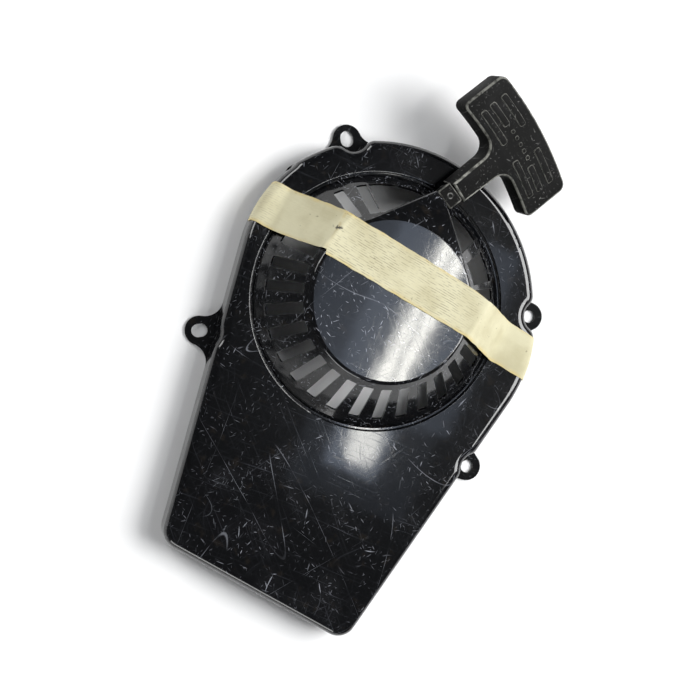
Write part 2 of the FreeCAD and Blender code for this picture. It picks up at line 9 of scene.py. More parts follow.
import bmesh
import bpy
from mathutils import Matrix, Vector
from mathutils import noise as field
from mathutils.bvhtree import BVHTree


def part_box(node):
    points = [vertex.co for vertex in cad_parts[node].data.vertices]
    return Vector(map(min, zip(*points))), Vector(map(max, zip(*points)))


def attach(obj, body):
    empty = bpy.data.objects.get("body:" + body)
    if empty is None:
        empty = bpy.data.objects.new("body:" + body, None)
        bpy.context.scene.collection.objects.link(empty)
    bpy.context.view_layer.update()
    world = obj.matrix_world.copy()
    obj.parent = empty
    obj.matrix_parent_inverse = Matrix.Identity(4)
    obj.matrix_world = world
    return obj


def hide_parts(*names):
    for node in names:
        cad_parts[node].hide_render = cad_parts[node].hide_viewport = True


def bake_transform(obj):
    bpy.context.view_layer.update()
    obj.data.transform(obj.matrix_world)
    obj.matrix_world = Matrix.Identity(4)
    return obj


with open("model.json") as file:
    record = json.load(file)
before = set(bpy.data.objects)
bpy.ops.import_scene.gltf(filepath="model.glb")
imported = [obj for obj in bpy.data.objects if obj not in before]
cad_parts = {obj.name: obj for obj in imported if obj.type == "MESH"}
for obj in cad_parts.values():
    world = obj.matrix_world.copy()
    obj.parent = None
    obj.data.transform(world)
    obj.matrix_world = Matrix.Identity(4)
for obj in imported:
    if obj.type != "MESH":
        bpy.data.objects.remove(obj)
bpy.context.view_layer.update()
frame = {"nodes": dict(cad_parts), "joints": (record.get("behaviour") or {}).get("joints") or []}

# ---------------------------------------------------------------- sizes and places
MM = 0.001
Z_AXIS = Vector((0, 0, 1))

face_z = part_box("fan_cover")[1].z            # the cover's face
disc_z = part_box("starter_case")[1].z         # the round cap of the starter case
pull_joint = next(j for j in frame["joints"] if j["name"] == "handle_pull")
pull_dir = Vector(pull_joint["axis"]).normalized()
pull_left = Z_AXIS.cross(pull_dir)
pull_offset = 22.6 * MM                      # the rope's line passes the crank axis this far off
rope_z = 32.0 * MM
pull_foot = pull_left * pull_offset + Z_AXIS * rope_z

bar_inner = 94.7 * MM                        # grip: distances along the pull line, at the bar's middle
bar_outer = 122.9 * MM
bar_sweep = 3.5 * MM                         # how far the bar's ends are swept back
bar_half_length = 36.7 * MM
bar_height = 13.0 * MM
bar_corner = 4.0 * MM
stem_start = 65.3 * MM
stem_start_width = 12.0 * MM
stem_end_width = 13.5 * MM
root_fillet = 8.0 * MM
grip_edge = 1.6 * MM
grip_roll = math.radians(16.0)
grip_bore = 2.1 * MM
knot_pocket = 4.7 * MM
knot_pocket_floor = 110.5 * MM

relief_width = 3.8 * MM                      # raised bars on the grip
relief_height = 0.55 * MM
relief_bars = (                              # place across the grip's bar, start and end along it
    (-7.9 * MM, 5.5 * MM, 27.5 * MM),
    (-1.4 * MM, 13.0 * MM, 28.0 * MM),
    (6.2 * MM, 7.5 * MM, 28.0 * MM),
)
pip_spacing = 4.2 * MM                       # small pips between the two halves' bars

rope_radius = 1.7 * MM
rope_first_radius = 17.0 * MM                # centre line of the innermost turn
rope_pitch = 3.6 * MM
rope_turns = 5
strand_pairs = 8
braid_pitch = 9.0 * MM
guide_end = 64.9 * MM
nose_end = 56.0 * MM
draw_start = guide_end - 0.5 * MM            # the rope is drawn out between these two places
draw_end = stem_start + 0.5 * MM
draw_ring_spacing = 1.2 * MM
rope_sides = 20                              # points round the rope
coil_steps = 160                             # places along one turn of the coil
mouth_bend = 2 * MM                          # length over which the rope turns at the nose's end

coil_radius = rope_first_radius + rope_pitch * rope_turns
rope_mouth = pull_foot + pull_dir * (nose_end - 1.0 * MM)
mouth_reach = math.hypot(rope_mouth.x, rope_mouth.y)
leave_angle = math.atan2(rope_mouth.y, rope_mouth.x) + math.acos(coil_radius / mouth_reach)

tape_width = 24.0 * MM
tape_centre_y = 15.5 * MM
tape_tilt = math.radians(1.5)
tape_lift = 0.25 * MM
tape_sheet = 0.35 * MM
cover_edge = 5.0 * MM                        # rounding between the cover's face and its wall
tape_end_z = 8.0 * MM
tape_ring_crease = 69.5 * MM
tape_disc_crease = 44.0 * MM
dash_spacing = 1.15 * MM                     # rows of crepe ridges along the tape

floor_size = 12.0
lamp_distance = 0.8                          # from the cap to the tube lamp it mirrors
tube_top = (0.0150, 0.046)                   # ends of the tubes' mirror image on the cap
tube_low = (0.0205, -0.046)
tube_spacing = 0.020
panel_aim = (0.02, -0.01)                    # the place on the part that the mirrored panels face


# ---------------------------------------------------------------- finishes
class Finish:
    """A procedural material, with short calls for the shader nodes it is made of."""

    def __init__(self, name):
        self.material = bpy.data.materials.new(name)
        self.material.use_nodes = True
        self.tree = self.material.node_tree
        self.surface = self.tree.nodes["Principled BSDF"]
        self.place = self.node("TexCoord").outputs["Object"]

    def node(self, kind, **settings):
        node = self.tree.nodes.new("ShaderNode" + kind)
        for name, value in settings.items():
            setattr(node, name, value)
        return node

    def put(self, socket, value):
        if isinstance(value, bpy.types.NodeSocket):
            self.tree.links.new(value, socket)
        else:
            socket.default_value = value

    def set(self, **values):
        for name, value in values.items():
            self.put(self.surface.inputs[name.replace("_", " ")], value)

    def math(self, operation, a, b=0.0, clamp=False):
        node = self.node("Math", operation=operation, use_clamp=clamp)
        self.put(node.inputs[0], a)
        self.put(node.inputs[1], b)
        return node.outputs[0]

    def vector(self, operation, a, b=(0, 0, 0)):
        node = self.node("VectorMath", operation=operation)
        self.put(node.inputs[0], a)
        self.put(node.inputs[1], b)
        return node.outputs["Value"] if operation in ("DOT_PRODUCT", "LENGTH") else node.outputs[0]

    def remap(self, value, low, high, to_low=0.0, to_high=1.0):
        node = self.node("MapRange", interpolation_type="SMOOTHSTEP")
        for socket, number in zip(node.inputs, (value, low, high, to_low, to_high)):
            self.put(socket, number)
        return node.outputs[0]

    def noise(self, scale, detail=3.0, place=None, roughness=0.5):
        node = self.node("TexNoise")
        self.put(node.inputs["Vector"], place or self.place)
        self.put(node.inputs["Scale"], scale)
        self.put(node.inputs["Detail"], detail)
        self.put(node.inputs["Roughness"], roughness)
        return node.outputs["Fac"]

    def turned(self, degrees, place=None, stretch=(1, 1, 1)):
        """Coordinates turned about Z, then scaled along each turned axis."""
        turn = self.node("VectorRotate", rotation_type="Z_AXIS")
        self.put(turn.inputs["Vector"], place or self.place)
        self.put(turn.inputs["Angle"], math.radians(degrees))
        return self.vector("MULTIPLY", turn.outputs[0], stretch)

    def unfold(self, top):
        """Lays the walls below the top face out flat around it, so that marks don't smear down them."""
        down = self.node("SeparateXYZ")
        self.put(down.inputs[0], self.place)
        drop = self.math("SUBTRACT", top, down.outputs[2])
        outward = self.vector("MULTIPLY", self.node("TexCoord").outputs["Normal"], drop)
        self.place = self.vector("ADD", self.place, outward)

    def mix(self, share, a, b):
        node = self.node("Mix", data_type="RGBA")
        for name, value in (("Factor_Float", share), ("A_Color", a), ("B_Color", b)):
            socket = next(s for s in node.inputs if s.identifier == name)
            if isinstance(value, tuple):
                value = (*value, 1.0)
            self.put(socket, value)
        return next(s for s in node.outputs if s.identifier == "Result_Color")

    def bent(self, amount, scale):
        """Coordinates pushed about by soft noise, so that straight patterns become slightly curved."""
        node = self.node("TexNoise")
        self.put(node.inputs["Vector"], self.place)
        self.put(node.inputs["Scale"], scale)
        self.put(node.inputs["Detail"], 1.0)
        push = self.vector("SUBTRACT", node.outputs["Color"], (0.5, 0.5, 0.5))
        push = self.vector("MULTIPLY", push, (amount, amount, amount))
        return self.vector("ADD", self.place, push)

    def nicks(self, place, turn, cell, width, share, seed):
        """Scratches: in a share of the cells of a turned grid lies one short tapered line, any way round."""
        spot = self.turned(turn, place, (1 / cell, 1 / cell, 0))
        spot = self.vector("ADD", spot, (seed * 3.37, seed * 7.71, seed + 0.5))
        corner = self.vector("FLOOR", spot)
        chance = self.node("TexWhiteNoise", noise_dimensions="3D")
        self.put(chance.inputs["Vector"], corner)
        draws = self.node("SeparateColor")
        self.put(draws.inputs[0], chance.outputs["Color"])
        shift = self.vector("SUBTRACT", chance.outputs["Color"], (0.5, 0.5, 0.5))
        shift = self.vector("MULTIPLY", shift, (0.4, 0.4, 0.4))
        inside = self.vector("SUBTRACT", self.vector("SUBTRACT", spot, corner), shift)
        inside = self.vector("SUBTRACT", inside, (0.5, 0.5, 0.5))
        angle = self.math("MULTIPLY", draws.outputs[2], 2 * math.pi)
        heading = self.node("CombineXYZ")
        self.put(heading.inputs[0], self.math("COSINE", angle))
        self.put(heading.inputs[1], self.math("SINE", angle))
        along = self.vector("DOT_PRODUCT", inside, heading.outputs[0])
        aside = self.vector("CROSS_PRODUCT", (0, 0, 1), heading.outputs[0])
        across = self.math("ABSOLUTE", self.vector("DOT_PRODUCT", inside, aside))
        half = self.remap(draws.outputs[0], 0, 1, 0.18, 0.42)
        share_along = self.math("DIVIDE", along, half)
        taper = self.math("SUBTRACT", 1.0, self.math("MULTIPLY", share_along, share_along))
        line = self.math("SUBTRACT", self.math("MULTIPLY", taper, width / cell), across)
        line = self.math("MULTIPLY", line, 2 * cell / width, clamp=True)
        there = self.remap(chance.outputs["Value"], share, 0.4 * share)
        return self.math("MULTIPLY", line, there)

    def contours(self, place, turn, scale, stretch, width, seed):
        """Long scratches: broken stretches of the thin middle contour of a noise drawn out along one way."""
        spot = self.turned(turn, place, (stretch, 1, 0))
        spot = self.vector("ADD", spot, (seed * 1.9, seed * 0.7, seed * 2.3))
        level = self.math("ABSOLUTE", self.math("SUBTRACT", self.noise(scale, 1, spot), 0.5))
        unbroken = self.remap(self.noise(scale * 3, 2, spot), 0.52, 0.62)
        return self.math("MULTIPLY", self.remap(level, width, 0.2 * width), unbroken)

    def most(self, *values):
        result = values[0]
        for value in values[1:]:
            result = self.math("MAXIMUM", result, value)
        return result

    def edges(self, radius, samples=6):
        """1 on sharp outer and inner edges, 0 on flat places."""
        bevel = self.node("Bevel", samples=samples)
        self.put(bevel.inputs["Radius"], radius)
        normal = self.node("NewGeometry").outputs["Normal"]
        return self.remap(self.vector("DOT_PRODUCT", bevel.outputs[0], normal), 0.995, 0.86)

    def bump(self, height, distance, strength=1.0, under=None):
        node = self.node("Bump")
        self.put(node.inputs["Height"], height)
        self.put(node.inputs["Distance"], distance)
        self.put(node.inputs["Strength"], strength)
        if under:
            self.put(node.inputs["Normal"], under)
        return node.outputs[0]


def black_enamel(name, top, fine_scratches):
    """Glossy black paint on pressed steel, with its face at the height top: long thin scratches, nicks,
    hazy scuffed patches and chipped edges; fine_scratches is how strongly the smallest ones show."""
    f = Finish(name)
    f.unfold(top)
    curved = f.bent(5 * MM, 16)
    swirled = f.bent(14 * MM, 30)
    long_lines = f.most(
        f.contours(curved, 38, 16, 0.10, 0.0012, 1),
        f.contours(curved, -58, 20, 0.14, 0.0014, 2),
        f.contours(curved, 84, 18, 0.18, 0.0014, 3),
        f.contours(curved, 12, 26, 0.25, 0.0018, 4),
    )
    patchy = f.remap(f.noise(24, 5, roughness=0.6), 0.44, 0.60)
    short_lines = f.most(
        f.nicks(swirled, 25, 17 * MM, 0.36 * MM, 0.50, 3),
        f.nicks(swirled, 64, 11 * MM, 0.30 * MM, 0.50, 4),
        f.nicks(swirled, 5, 7 * MM, 0.26 * MM, 0.55, 5),
    )
    fine_lines = f.most(
        f.nicks(curved, 48, 5.0 * MM, 0.19 * MM, 0.75, 6),
        f.nicks(swirled, 14, 3.6 * MM, 0.16 * MM, 0.75, 7),
        f.nicks(curved, 80, 8.0 * MM, 0.20 * MM, 0.75, 8),
    )
    fine_lines = f.math("MULTIPLY", fine_lines, f.remap(f.noise(70, 4), 0.40, 0.66, 0.0, fine_scratches))
    faint = f.remap(f.noise(70, 2), 0.36, 0.66, 0.02, 0.58)
    nicks = f.most(f.math("MULTIPLY", long_lines, 0.5), f.math("MULTIPLY", short_lines, patchy))
    nicks = f.most(f.math("MULTIPLY", nicks, faint), fine_lines)

    hairlines = f.most(
        f.remap(f.noise(300, 3, f.turned(-8, curved, (0.06, 3.0, 1)), 0.75), 0.56, 0.78),
        f.remap(f.noise(300, 3, f.turned(38, curved, (0.05, 3.0, 1)), 0.75), 0.57, 0.80),
        f.remap(f.noise(340, 3, f.turned(-63, swirled, (0.08, 3.0, 1)), 0.75), 0.58, 0.82),
        f.remap(f.noise(340, 3, f.turned(72, swirled, (0.08, 3.0, 1)), 0.75), 0.58, 0.82),
    )
    scuffed = f.remap(f.noise(34, 5, roughness=0.65), 0.50, 0.70)
    scuffs = f.math("MULTIPLY", hairlines, f.math("ADD", f.math("MULTIPLY", scuffed, 0.65), 0.35))
    flecks = f.remap(f.noise(620, 4, f.turned(20, curved, (0.5, 1.4, 1)), 0.7), 0.60, 0.74)
    crumbs = f.math("MULTIPLY", flecks, scuffed)
    edge = f.edges(0.5 * MM)
    chips = f.math("MULTIPLY", edge, f.remap(f.noise(240, 3), 0.46, 0.64, 0.04, 0.8))
    dust = f.remap(f.noise(35, 5, roughness=0.65), 0.45, 0.75)
    grime = f.math("MULTIPLY", f.remap(f.noise(150, 4), 0.58, 0.72), 0.4)

    paint = f.mix(dust, (0.0014, 0.0015, 0.0019), (0.0040, 0.0042, 0.0050))
    paint = f.mix(grime, paint, (0.016, 0.012, 0.008))
    paint = f.mix(f.math("MULTIPLY", scuffs, 0.28), paint, (0.17, 0.18, 0.21))
    paint = f.mix(f.math("MULTIPLY", crumbs, 0.42), paint, (0.20, 0.21, 0.24))
    paint = f.mix(nicks, paint, (0.50, 0.52, 0.58))
    paint = f.mix(f.math("MULTIPLY", chips, 0.7), paint, (0.24, 0.24, 0.24))
    worn = f.most(nicks, chips)
    shine = f.remap(f.most(dust, scuffs), 0, 1, 0.24, 0.40)
    ripple = f.bump(f.noise(45, 2), 0.25 * MM, 0.22)
    scored = f.bump(f.math("SUBTRACT", 1.0, hairlines), 0.012 * MM, 0.30, ripple)
    marked = f.bump(f.math("SUBTRACT", 1.0, f.most(nicks, scuffs)), 0.04 * MM, 0.5, ripple)
    f.set(Base_Color=paint, Roughness=f.math("ADD", shine, f.math("MULTIPLY", worn, 0.3)), IOR=1.5)
    f.set(Specular_IOR_Level=0.05, Normal=marked, Coat_Weight=1.0, Coat_Normal=scored)
    f.set(Coat_Roughness=f.remap(scuffs, 0, 1, 0.06, 0.24))
    return f.material


def moulded_black(name, up, rim_rub_and_highlight, mark=None):
    """Black moulded plastic with a fine grain, speckled with dust, and pale on the rounding where its faces
    turn away from the up direction, partly rubbed wear and partly a painted edge highlight; mark is the
    middle of a small worn ring."""
    f = Finish(name)
    grain = f.noise(2600, 3)
    blotch = f.noise(70, 4)
    facing = f.vector("DOT_PRODUCT", f.node("NewGeometry").outputs["Normal"], tuple(up))
    # rim: the upper rounding between top and sides, painted pale: partly rubbed wear, partly painted edge
    # highlight
    rim = f.math("MULTIPLY", f.remap(facing, 0.985, 0.90), f.remap(facing, 0.15, 0.50))
    patchy = f.remap(f.noise(260, 5, roughness=0.7), 0.36, 0.60, 0.15, 1.0)
    rim = f.math("MULTIPLY", f.math("MULTIPLY", rim, patchy), rim_rub_and_highlight(f))
    edge = f.math("MULTIPLY", f.edges(0.5 * MM), f.remap(f.noise(190, 4), 0.38, 0.60, 0.15, 1.0))
    curved = f.bent(2 * MM, 40)
    rubs = f.most(
        f.nicks(curved, 30, 9 * MM, 0.24 * MM, 0.5, 11),
        f.nicks(curved, 62, 5 * MM, 0.22 * MM, 0.6, 12),
        f.nicks(curved, 10, 3 * MM, 0.20 * MM, 0.6, 13),
    )
    rubs = f.math("MULTIPLY", rubs, f.remap(f.noise(90, 3), 0.40, 0.65, 0.1, 0.7))
    specks = f.remap(f.noise(800, 5, roughness=0.75), 0.58, 0.74)
    specks = f.math("MULTIPLY", specks, f.remap(f.noise(100, 3), 0.40, 0.62, 0.08, 0.5))
    marks = f.most(rubs, specks)
    if mark:
        away = f.vector("LENGTH", f.vector("MULTIPLY", f.vector("SUBTRACT", f.place, tuple(mark)), (1, 1, 0)))
        ring = f.remap(f.math("ABSOLUTE", f.math("SUBTRACT", away, 1.4 * MM)), 0.45 * MM, 0.1 * MM)
        marks = f.most(marks, f.math("MULTIPLY", ring, f.remap(f.noise(500, 2), 0.35, 0.6, 0.1, 0.8)))
    base = f.mix(f.remap(blotch, 0.35, 0.7), (0.0025, 0.0025, 0.0025), (0.0060, 0.0060, 0.0056))
    # sharp edges and the upper rounding turned pale: rubbed wear and painted edge highlight
    base = f.mix(f.math("MULTIPLY", f.most(edge, rim), 0.85), base, (0.40, 0.40, 0.36))
    base = f.mix(marks, base, (0.26, 0.26, 0.25))
    f.set(Base_Color=base, Roughness=f.remap(blotch, 0.3, 0.7, 0.46, 0.62), IOR=1.45)
    f.set(Specular_IOR_Level=0.08, Normal=f.bump(grain, 0.05 * MM, 0.6))
    return f.material


def grip_rub_and_highlight(f):
    """How strongly the pale rim shows, rubbed wear and painted edge highlight: stronger on the grip's stem
    than on its bar.
    """
    along = f.vector("DOT_PRODUCT", f.place, tuple(pull_dir))
    return f.remap(along, bar_inner, bar_inner - 12 * MM, 0.60, 1.0)


def guide_rub_and_highlight(f):
    """The pale rim, rubbed wear and painted edge highlight: even all over, and never complete."""
    return f.remap(f.noise(300, 2), 0.3, 0.7, 0.2, 0.7)


def masking_paper():
    """Aged cream crepe paper: rows of dark ridges where it is pressed flat, yellowed edges, specks,
    and a dirty crease with a stain beside it."""
    f = Finish("masking_paper")
    along = f.turned(math.degrees(-tape_tilt))
    split = f.node("SeparateXYZ")
    f.put(split.inputs[0], along)
    centre = tape_centre_y * math.cos(tape_tilt)
    across = f.math("SUBTRACT", split.outputs[1], centre)
    distance = split.outputs[0]
    crepe = f.noise(520, 4, f.vector("MULTIPLY", along, (0.30, 1.9, 0.6)), 0.6)
    waver = f.math("MULTIPLY", f.noise(60, 2), 1.6 * MM)
    rows = f.math("SINE", f.math("MULTIPLY", f.math("ADD", across, waver), 2 * math.pi / dash_spacing))
    broken = f.remap(f.noise(1000, 3, f.vector("MULTIPLY", along, (0.30, 1.0, 0.3))), 0.42, 0.60)
    pressed = f.remap(f.math("ABSOLUTE", distance), tape_disc_crease, tape_disc_crease - 4 * MM)
    left_bend = f.remap(distance, -tape_ring_crease + 2 * MM, -tape_ring_crease - 6 * MM, 0.0, 0.6)
    worn = f.math("MULTIPLY", f.most(pressed, left_bend), f.remap(f.noise(38, 3), 0.34, 0.54, 0.40, 1.0))
    dashes = f.math("MULTIPLY", f.math("MULTIPLY", f.remap(rows, 0.30, 0.85), broken), worn)
    blotch = f.noise(60, 5)
    specks = f.remap(f.noise(420, 3), 0.68, 0.76)
    rim = f.remap(f.math("ABSOLUTE", across), 0.40 * tape_width, 0.51 * tape_width)
    rim = f.math("MULTIPLY", rim, f.remap(f.noise(160, 3), 0.35, 0.65, 0.25, 1.0))
    fold = f.remap(f.math("ABSOLUTE", f.math("ADD", distance, tape_disc_crease - MM)), 1.2 * MM, 0.2 * MM)
    fold = f.math("MULTIPLY", fold, f.remap(f.noise(240, 3), 0.40, 0.62, 0.1, 0.8))
    stain = f.vector("SUBTRACT", along, (-tape_disc_crease + 1.5 * MM, centre + 2.5 * MM, 0))
    stain = f.vector("LENGTH", f.vector("MULTIPLY", stain, (0.6, 1.2, 0)))
    stain = f.math("MULTIPLY", f.remap(stain, 2.2 * MM, 0.7 * MM), f.remap(f.noise(700, 3), 0.44, 0.58))

    paper = f.mix(f.remap(blotch, 0.35, 0.68), (0.62, 0.585, 0.40), (0.51, 0.47, 0.30))
    paper = f.mix(rim, paper, (0.60, 0.48, 0.20))
    paper = f.mix(f.math("MULTIPLY", fold, 0.55), paper, (0.40, 0.31, 0.13))
    paper = f.mix(f.math("MULTIPLY", dashes, 0.62), paper, (0.17, 0.15, 0.11))
    paper = f.mix(f.math("MULTIPLY", specks, 0.55), paper, (0.14, 0.12, 0.08))
    paper = f.mix(f.math("MULTIPLY", stain, 0.9), paper, (0.03, 0.03, 0.03))
    f.set(Base_Color=paper, Roughness=0.74, IOR=1.45, Sheen_Weight=0.05)
    f.set(Normal=f.bump(crepe, 0.16 * MM, 0.75))
    return f.material


def plated_steel(name, tint=(0.52, 0.52, 0.50), rough=0.34, dirt=0.4):
    """Zinc plated or bright steel with turning marks, stains and dark grime."""
    f = Finish(name)
    marks = f.noise(1400, 2, f.vector("MULTIPLY", f.place, (1, 1, 0.15)))
    grime = f.remap(f.noise(110, 5, roughness=0.7), 0.45, 0.72, 0, dirt)
    base = f.mix(f.noise(40, 3), tint, tuple(c * 0.75 for c in tint))
    base = f.mix(grime, base, (0.06, 0.045, 0.03))
    f.set(Base_Color=base, Metallic=f.math("SUBTRACT", 1.0, f.math("MULTIPLY", grime, 0.8)))
    f.set(Roughness=f.remap(marks, 0.3, 0.7, rough, rough + 0.18))
    f.set(Normal=f.bump(marks, 0.02 * MM, 0.5))
    return f.material


def rope_cord(name):
    """Braided nylon: two crossing families of strands, greyed by oil."""
    f = Finish(name)
    braid = f.node("TexVoronoi", feature="F1")
    f.put(braid.inputs["Vector"], f.place)
    f.put(braid.inputs["Scale"], 900)
    fibres = f.noise(3200, 2)
    grime = f.noise(120, 4)
    base = f.mix(f.remap(grime, 0.35, 0.7), (0.62, 0.60, 0.54), (0.24, 0.22, 0.18))
    # darker towards the borders of the braid's cells, the low places of the bump: painted shade in the
    # hollows
    base = f.mix(f.remap(braid.outputs["Distance"], 0.25, 0.6, 0, 0.5), base, (0.10, 0.09, 0.08))
    height = f.math("SUBTRACT", f.math("MULTIPLY", fibres, 0.3), braid.outputs["Distance"])
    f.set(Base_Color=base, Roughness=0.72, Sheen_Weight=0.2, Normal=f.bump(height, 0.25 * MM, 0.8))
    return f.material


def oiled_nylon(name):
    """Grey-black glass filled nylon of the reel, with flow marks and rubbed rings."""
    f = Finish(name)
    from_axis = f.vector("LENGTH", f.vector("MULTIPLY", f.place, (1, 1, 0)))
    rings = f.noise(900, 2, f.vector("MULTIPLY", (1, 1, 1), from_axis))      # the distance in all three axes
    blotch = f.noise(80, 4)
    base = f.mix(f.remap(blotch, 0.35, 0.7), (0.028, 0.028, 0.030), (0.060, 0.058, 0.055))
    base = f.mix(f.remap(rings, 0.56, 0.72, 0, 0.35), base, (0.16, 0.155, 0.15))
    f.set(Base_Color=base, Roughness=f.remap(blotch, 0.3, 0.7, 0.38, 0.55))
    f.set(Normal=f.bump(f.noise(1500, 3), 0.03 * MM, 0.5))
    return f.material


def bronze_bush(name):
    """Oily sintered bronze."""
    f = Finish(name)
    pores = f.noise(2400, 2)
    base = f.mix(f.noise(150, 3), (0.42, 0.25, 0.10), (0.28, 0.16, 0.07))
    base = f.mix(f.remap(pores, 0.60, 0.70), base, (0.08, 0.05, 0.03))
    f.set(Base_Color=base, Metallic=0.9, Roughness=0.42, Normal=f.bump(pores, 0.03 * MM, 0.6))
    return f.material


def paint_node(name, material):
    """Puts one finish on every material slot of a CAD node."""
    slots = frame["nodes"][name].material_slots
    for slot in slots:
        slot.material = material
    if not slots:
        frame["nodes"][name].data.materials.append(material)


cover_enamel = black_enamel("cover_enamel", face_z, 0.22)
case_enamel = black_enamel("case_enamel", disc_z, 0.85)
grip_up = Z_AXIS * math.cos(grip_roll) - pull_left * math.sin(grip_roll)
plastic = moulded_black("moulded_black", grip_up, grip_rub_and_highlight)
guide_mark = pull_foot + pull_dir * (guide_end - 4.2 * MM)
guide_plastic = moulded_black("guide_black", Z_AXIS, guide_rub_and_highlight, guide_mark)
zinc = plated_steel("zinc_steel")
dark_steel = plated_steel("spring_steel", (0.22, 0.23, 0.25), 0.28, 0.5)
pawl_finish = plated_steel("pawl_steel", (0.30, 0.29, 0.27), 0.36, 0.55)
cord = rope_cord("braided_cord")
paper = masking_paper()

node_finishes = {
    "fan_cover": cover_enamel,
    "starter_case": case_enamel,
    "rope_guide": guide_plastic,
    "reel": oiled_nylon("reel_nylon"),
    "reel_bush": bronze_bush("sintered_bronze"),
    "reel_post": zinc,
    "thrust_washer": zinc,
    "center_bolt": zinc,
    "friction_plate": zinc,
    "grip_washer": zinc,
    "friction_washer": dark_steel,
    "friction_spring": dark_steel,
    "recoil_spring": dark_steel,
    "pawl_a": pawl_finish,
    "pawl_b": pawl_finish,
    "rope_coil": cord,
    "rope_lead": cord,
    "grip_knot": cord,
    "starter_grip": plastic,
    "masking_tape_label": paper,
}
for node_name, finish in node_finishes.items():
    paint_node(node_name, finish)


# ---------------------------------------------------------------- mesh helpers
def placed(x_axis, y_axis, z_axis, origin):
    """The matrix that puts something at origin with those three axes."""
    return Matrix((
        (x_axis.x, y_axis.x, z_axis.x, origin.x),
        (x_axis.y, y_axis.y, z_axis.y, origin.y),
        (x_axis.z, y_axis.z, z_axis.z, origin.z),
        (0, 0, 0, 1),
    ))


def new_piece(name, verts, faces, material, slot, smooth_deg=40):
    """A new object from vertices and faces, finished with its material."""
    mesh = bpy.data.meshes.new(name)
    mesh.from_pydata([tuple(v) for v in verts], [], faces)
    mesh.validate()
    piece = bpy.data.objects.new(name, mesh)
    bpy.context.scene.collection.objects.link(piece)
    finish_piece(piece, material, smooth_deg)
    return piece


def finish_piece(piece, material, smooth_deg=40):
    """Faces turned outwards, one material, and smooth shading up to that angle."""
    shell = bmesh.new()
    shell.from_mesh(piece.data)
    bmesh.ops.recalc_face_normals(shell, faces=shell.faces)
    shell.to_mesh(piece.data)
    shell.free()
    piece.data.materials.clear()
    piece.data.materials.append(material)
    piece.data.shade_smooth()
    piece.data.set_sharp_from_angle(angle=math.radians(smooth_deg))


def apply_modifiers(piece):
    """Makes the modified shape the piece's own mesh."""
    solid = piece.evaluated_get(bpy.context.evaluated_depsgraph_get())
    mesh = bpy.data.meshes.new_from_object(solid)
    piece.modifiers.clear()
    piece.data = mesh


def combine(piece, others, operation):
    """Union of piece with the others, or the others cut out of it; the others are used up."""
    for other in others:
        step = piece.modifiers.new("combine", "BOOLEAN")
        step.operation = operation
        step.solver = "EXACT"
        step.object = other
        bpy.context.view_layer.update()
        apply_modifiers(piece)
        bpy.data.objects.remove(other)


def rounded(corners, steps=8):
    """Closed outline through (x, y, radius) corners, with an arc at each corner that has a radius."""
    points = []
    for index, (x, y, radius) in enumerate(corners):
        here = Vector((x, y))
        before = (here - Vector(corners[index - 1][:2])).normalized()
        after = (Vector(corners[(index + 1) % len(corners)][:2]) - here).normalized()
        turn = math.atan2(before.x * after.y - before.y * after.x, before.dot(after))
        if radius == 0:
            points.append(here)
            continue
        start = here - before * radius * math.tan(abs(turn) / 2)
        inward = Vector((-before.y, before.x)) * math.copysign(1, turn)
        centre = start + inward * radius
        for step in range(steps + 1):
            spin = Matrix.Rotation(turn * step / steps, 2)
            points.append(centre + spin @ (start - centre))
    return points


def pulled_in(outline, distance):
    """The outline moved inwards by distance; it runs anticlockwise."""
    points = []
    for index, here in enumerate(outline):
        before = (here - outline[index - 1]).normalized()
        after = (outline[(index + 1) % len(outline)] - here).normalized()
        inward = Vector((-before.y - after.y, before.x + after.x)).normalized()
        points.append(here + inward * distance / max(0.5, inward.dot(Vector((-after.y, after.x)))))
    return points


def moulding(outline, low, high, edge, round_low=True, steps=5):
    """Vertices and faces of a plate with rounded upper (and lower) edges, from its outline."""
    rows = []
    if round_low:
        rows += [(edge * (1 - math.sin(a)), low + edge * (1 - math.cos(a)))
                 for a in (math.pi / 2 * k / steps for k in range(steps + 1))]
    else:
        rows.append((0, low))
    rows += [(edge * (1 - math.cos(a)), high - edge + edge * math.sin(a))
             for a in (math.pi / 2 * k / steps for k in range(steps + 1))]
    verts = []
    for inset, height in rows:
        verts += [Vector((q.x, q.y, height)) for q in pulled_in(outline, inset)]
    count = len(outline)
    faces = []
    for row in range(len(rows) - 1):
        for index in range(count):
            after = (index + 1) % count
            first = row * count
            faces.append((first + index, first + after, first + count + after, first + count + index))
    faces.append(tuple(reversed(range(count))))
    faces.append(tuple(range((len(rows) - 1) * count, len(rows) * count)))
    return verts, faces


def peg(name, radius, start, end, steps=40):
    """A cutter for a round hole along +X."""
    outline = [(radius * math.cos(2 * math.pi * k / steps), radius * math.sin(2 * math.pi * k / steps))
               for k in range(steps)]
    verts = [(x, y, z) for x in (start, end) for y, z in outline]
    faces = [(k, (k + 1) % steps, steps + (k + 1) % steps, steps + k) for k in range(steps)]
    faces += [tuple(reversed(range(steps))), tuple(range(steps, 2 * steps))]
    return new_piece(name, verts, faces, plastic, "black_plastic")


# ---------------------------------------------------------------- grip
def divided(outline, longest):
    """The outline with extra points, so that no stretch is longer than longest."""
    points = []
    for index, here in enumerate(outline):
        after = outline[(index + 1) % len(outline)]
        parts = math.ceil((after - here).length / longest)
        points += [here.lerp(after, k / parts) for k in range(parts)]
    return points


def swept(outline):
    """The straight T's outline with its bar swept back at both ends."""
    points = []
    for q in outline:
        share = min(1.0, max(0.0, (q.x - bar_inner + root_fillet) / root_fillet))
        points.append(Vector((q.x - bar_sweep * share * (q.y / bar_half_length) ** 2, q.y)))
    return points


